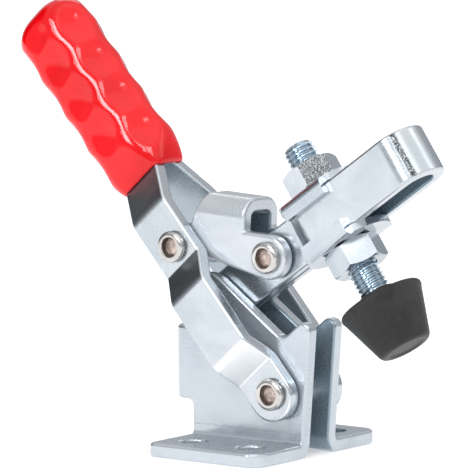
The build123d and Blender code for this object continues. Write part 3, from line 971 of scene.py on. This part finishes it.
# ---------------------------------------------------------------- studio
@dataclass(frozen=True)
class Softbox:
    """A square or oblong area light that looks at the clamp."""

    name: str
    azimuth: float
    elevation: float
    distance: float
    size: tuple[float, float]
    power: float
    colour: Colour = (1.0, 1.0, 1.0)

    def build(self, target: Vector, only: bpy.types.Object | None = None) -> None:
        """Set the light up, facing the target.

        Args:
            target: The point that it faces.
            only: A piece whose gloss alone it lights, or None for everything.
        """
        a, e = math.radians(self.azimuth), math.radians(self.elevation)
        away = Vector((math.sin(a) * math.cos(e), -math.cos(a) * math.cos(e), math.sin(e)))
        light = bpy.data.lights.new(self.name, "AREA")
        light.shape = "RECTANGLE"
        light.size, light.size_y = self.size
        light.energy = self.power
        light.color = self.colour
        lamp = bpy.data.objects.new(self.name, light)
        lamp.location = target + away * self.distance
        lamp.rotation_euler = away.to_track_quat("Z", "Y").to_euler()
        bpy.context.scene.collection.objects.link(lamp)
        if only:
            receivers = bpy.data.collections.new(f"{self.name}_receivers")
            receivers.objects.link(only)
            lamp.light_linking.receiver_collection = receivers
            lamp.visible_diffuse = False


@dataclass(frozen=True)
class SkyPatch:
    """A soft round patch of the surroundings, full inside one angle and gone beyond another."""

    direction: Point
    inner: float
    outer: float
    colour: Colour


@dataclass
class Studio:
    """Camera, pale floor and soft light."""

    target: tuple[float, float, float] = (-8.6816 * MM, 0.0, 37.0976 * MM)
    azimuth: float = 37.3892
    elevation: float = 6.1562
    roll: float = -0.3417
    distance: float = 1.0
    lens: float = 304.83
    sensor: float = 36.0
    below_centre: float = 65.0 / 3979.7
    floor_radius: float = 14.0
    floor_drop: float = 0.00005
    horizon: Colour = (0.62, 0.66, 0.70)
    sky_strength: float = 0.66
    sky: tuple[SkyPatch, ...] = (
        SkyPatch((0, 0, 1), 20, 85, (1.0, 1.0, 1.0)),
        SkyPatch((0.56, -0.05, 0.82), 26, 60, (1.8, 1.8, 1.8)),
        SkyPatch((0.49, -0.58, 0.66), 8, 17, (3.2, 3.2, 3.2)),
        SkyPatch((-0.955, -0.05, 0.29), 18, 30, (0.002, 0.002, 0.003)),
    )
    lamps_face: Point = (0.0, 0.0, 0.05)
    grip_lamps_face: Point = (-0.05, 0.0, 0.08)

    def camera(self) -> None:
        """Set up the camera, a long lens a metre away."""
        a, e, r = (math.radians(x) for x in (self.azimuth, self.elevation, self.roll))
        forward = Vector((-math.sin(a) * math.cos(e), math.cos(a) * math.cos(e), -math.sin(e)))
        right = Vector((math.cos(a), math.sin(a), 0))
        up = right.cross(forward)
        right, up = right * math.cos(r) + up * math.sin(r), up * math.cos(r) - right * math.sin(r)
        place = Vector(self.target) - forward * self.distance + up * (self.below_centre * self.distance)
        data = bpy.data.cameras.new("studio_camera")
        data.sensor_width, data.lens = self.sensor, self.lens
        data.clip_start, data.clip_end = 0.05, 50
        camera = bpy.data.objects.new("studio_camera", data)
        camera.matrix_world = Matrix.Translation(place) @ Matrix((right, up, -forward)).transposed().to_4x4()
        bpy.context.scene.collection.objects.link(camera)
        bpy.context.scene.camera = camera

    def floor(self) -> None:
        """Lay the pale floor."""
        clear_selection()
        bpy.ops.mesh.primitive_circle_add(vertices=96, radius=self.floor_radius, fill_type="NGON",
                                          location=(0, 0, -self.floor_drop))
        floor = bpy.context.object
        floor.name = "studio_floor"
        floor.data.materials.append(StudioPaper().make())

    def world(self) -> None:
        """Wrap the studio in soft light, with one dark card behind the handle's side."""
        world = bpy.data.worlds.new("studio_world")
        bpy.context.scene.world = world
        world.use_nodes = True
        tree = world.node_tree
        tree.nodes.clear()
        output = tree.nodes.new("ShaderNodeOutputWorld")
        background = tree.nodes.new("ShaderNodeBackground")
        tree.links.new(background.outputs[0], output.inputs["Surface"])
        place = tree.nodes.new("ShaderNodeTexCoord").outputs["Generated"]

        def share_of(patch: SkyPatch) -> bpy.types.NodeSocket:
            """Share of one patch in each direction."""
            dot = tree.nodes.new("ShaderNodeVectorMath")
            dot.operation = "DOT_PRODUCT"
            tree.links.new(place, dot.inputs[0])
            dot.inputs[1].default_value = Vector(patch.direction).normalized()
            ramp = tree.nodes.new("ShaderNodeMapRange")
            ramp.interpolation_type = "SMOOTHSTEP"
            ramp.inputs["From Min"].default_value = math.cos(math.radians(patch.outer))
            ramp.inputs["From Max"].default_value = math.cos(math.radians(patch.inner))
            tree.links.new(dot.outputs["Value"], ramp.inputs["Value"])
            return ramp.outputs["Result"]

        def blend(share: bpy.types.NodeSocket, first: object, second: Colour) -> bpy.types.NodeSocket:
            """Colour between two others."""
            mix = tree.nodes.new("ShaderNodeMix")
            mix.data_type = "RGBA"
            tree.links.new(share, mix.inputs["Factor"])
            if isinstance(first, bpy.types.NodeSocket):
                tree.links.new(first, mix.inputs[6])
            else:
                mix.inputs[6].default_value = (*first, 1)
            mix.inputs[7].default_value = (*second, 1)
            return mix.outputs[2]

        colour: object = self.horizon
        for patch in self.sky:
            colour = blend(share_of(patch), colour, patch.colour)
        tree.links.new(colour, background.inputs["Color"])
        background.inputs["Strength"].default_value = self.sky_strength

    def lights(self) -> None:
        """Hang the softboxes."""
        target = Vector(self.lamps_face)
        for box in (
            Softbox("key_softbox", -8, 26, 1.2, (0.26, 0.5), 4.4),
            Softbox("second_softbox", 23, 31, 1.2, (0.12, 0.5), 1.9),
            Softbox("top_softbox", 60, 78, 1.3, (0.9, 0.9), 0.9),
            Softbox("rim_softbox", 120, 30, 1.4, (0.4, 0.9), 1.0),
            Softbox("back_softbox", 215, 35, 1.6, (0.8, 0.5), 1.2),
        ):
            box.build(target)

    def grip_lights(self, grip: bpy.types.Object) -> None:
        """Hang the two large softboxes that show in the grip's gloss.

        Args:
            grip: The finished grip.
        """
        target = Vector(self.grip_lamps_face)
        Softbox("grip_left_softbox", -14, 26, 1.2, (0.8, 0.5), 8.6).build(target, grip)
        Softbox("grip_right_softbox", 46, 34, 1.2, (0.42, 0.5), 4.4).build(target, grip)

    def build(self) -> None:
        """Set up the whole studio."""
        self.camera()
        self.floor()
        self.world()
        self.lights()
        bpy.context.scene.view_settings.view_transform = "Standard"
        bpy.context.scene.view_settings.look = "None"


def main() -> None:
    """Build the studio and the clamp, sub-assembly by sub-assembly."""
    studio = Studio()
    studio.build()
    bracket = ZincPlating("zinc_bracket", light=srgb(192, 199, 205), dark=srgb(172, 181, 189),
                          inner_shade_share=0.75, metallic=0.62, painted_bands=bend_lines())
    sheet = ZincPlating("zinc_sheet", light=srgb(200, 205, 210), dark=srgb(184, 191, 198), metallic=0.55,
                        inner_shade_share=0.8)
    strips = ZincPlating("zinc_strips", light=srgb(197, 203, 208), dark=srgb(176, 184, 191),
                         grain_axes=HANDLE_AXES, painted_bands=slope_bands(), inner_shade_share=0.4)
    arm = ZincPlating("zinc_arm", light=srgb(195, 201, 206), dark=srgb(178, 186, 193), painted_bands=(nose_band(),),
                      inner_shade_share=0.9)
    fastener = ZincPlating("zinc_fastener", light=srgb(190, 197, 203), dark=srgb(170, 179, 187),
                           roughness=0.18, grain=Grain.DRAWN)
    # Upper nut's zinc, with a painted dark reflection on one facet.
    painted_nut_zinc = ZincPlating("zinc_nut_painted_reflection", roughness=0.24, grain=Grain.DRAWN, painted_bands=(painted_facet_reflection(),))
    thread = ZincPlating("zinc_thread", light=srgb(200, 216, 228), dark=srgb(158, 178, 192), roughness=0.16,
                         grain=Grain.TURNED,
                         valley_shade=(BAR_AXES.point(SPINDLE_ON_BAR), BAR_AXES.up(), 3.45 * MM, 3.75 * MM))
    turned = ZincPlating("turned_steel", light=srgb(205, 210, 214), dark=srgb(165, 171, 176), roughness=0.3,
                         grain=Grain.TURNED)
    nickel = ZincPlating("nickel_rivet", light=srgb(208, 206, 203), dark=srgb(172, 169, 166), roughness=0.12,
                         grain=Grain.TURNED)
    # Painted shade on the dish wall inside each rivet head.
    dish_wall_shade = ZincPlating("rivet_dish_wall_shade", light=srgb(122, 112, 106), dark=srgb(70, 64, 62), roughness=0.3,
                         grain=Grain.TURNED)
    rivets = RivetMaker(RivetHead(), nickel.make(), BareRivetFloor().make(), dish_wall_shade.make())
    sheet_zinc, turned_steel = sheet.make(), turned.make()
    Base(rivets, bracket.make(), turned_steel).build()
    handle = Handle(rivets, strips.make(), DippedVinyl().make())
    handle.build()
    studio.grip_lights(handle.grip)
    Link(rivets, sheet_zinc, turned_steel).build()
    Arm(arm.make()).build()
    fastener_zinc = fastener.make()
    SpindleSet(fastener_zinc, thread.make(), MouldedRubber().make(), painted_nut_zinc.make()).build()


if __name__ == "__main__":
    main()
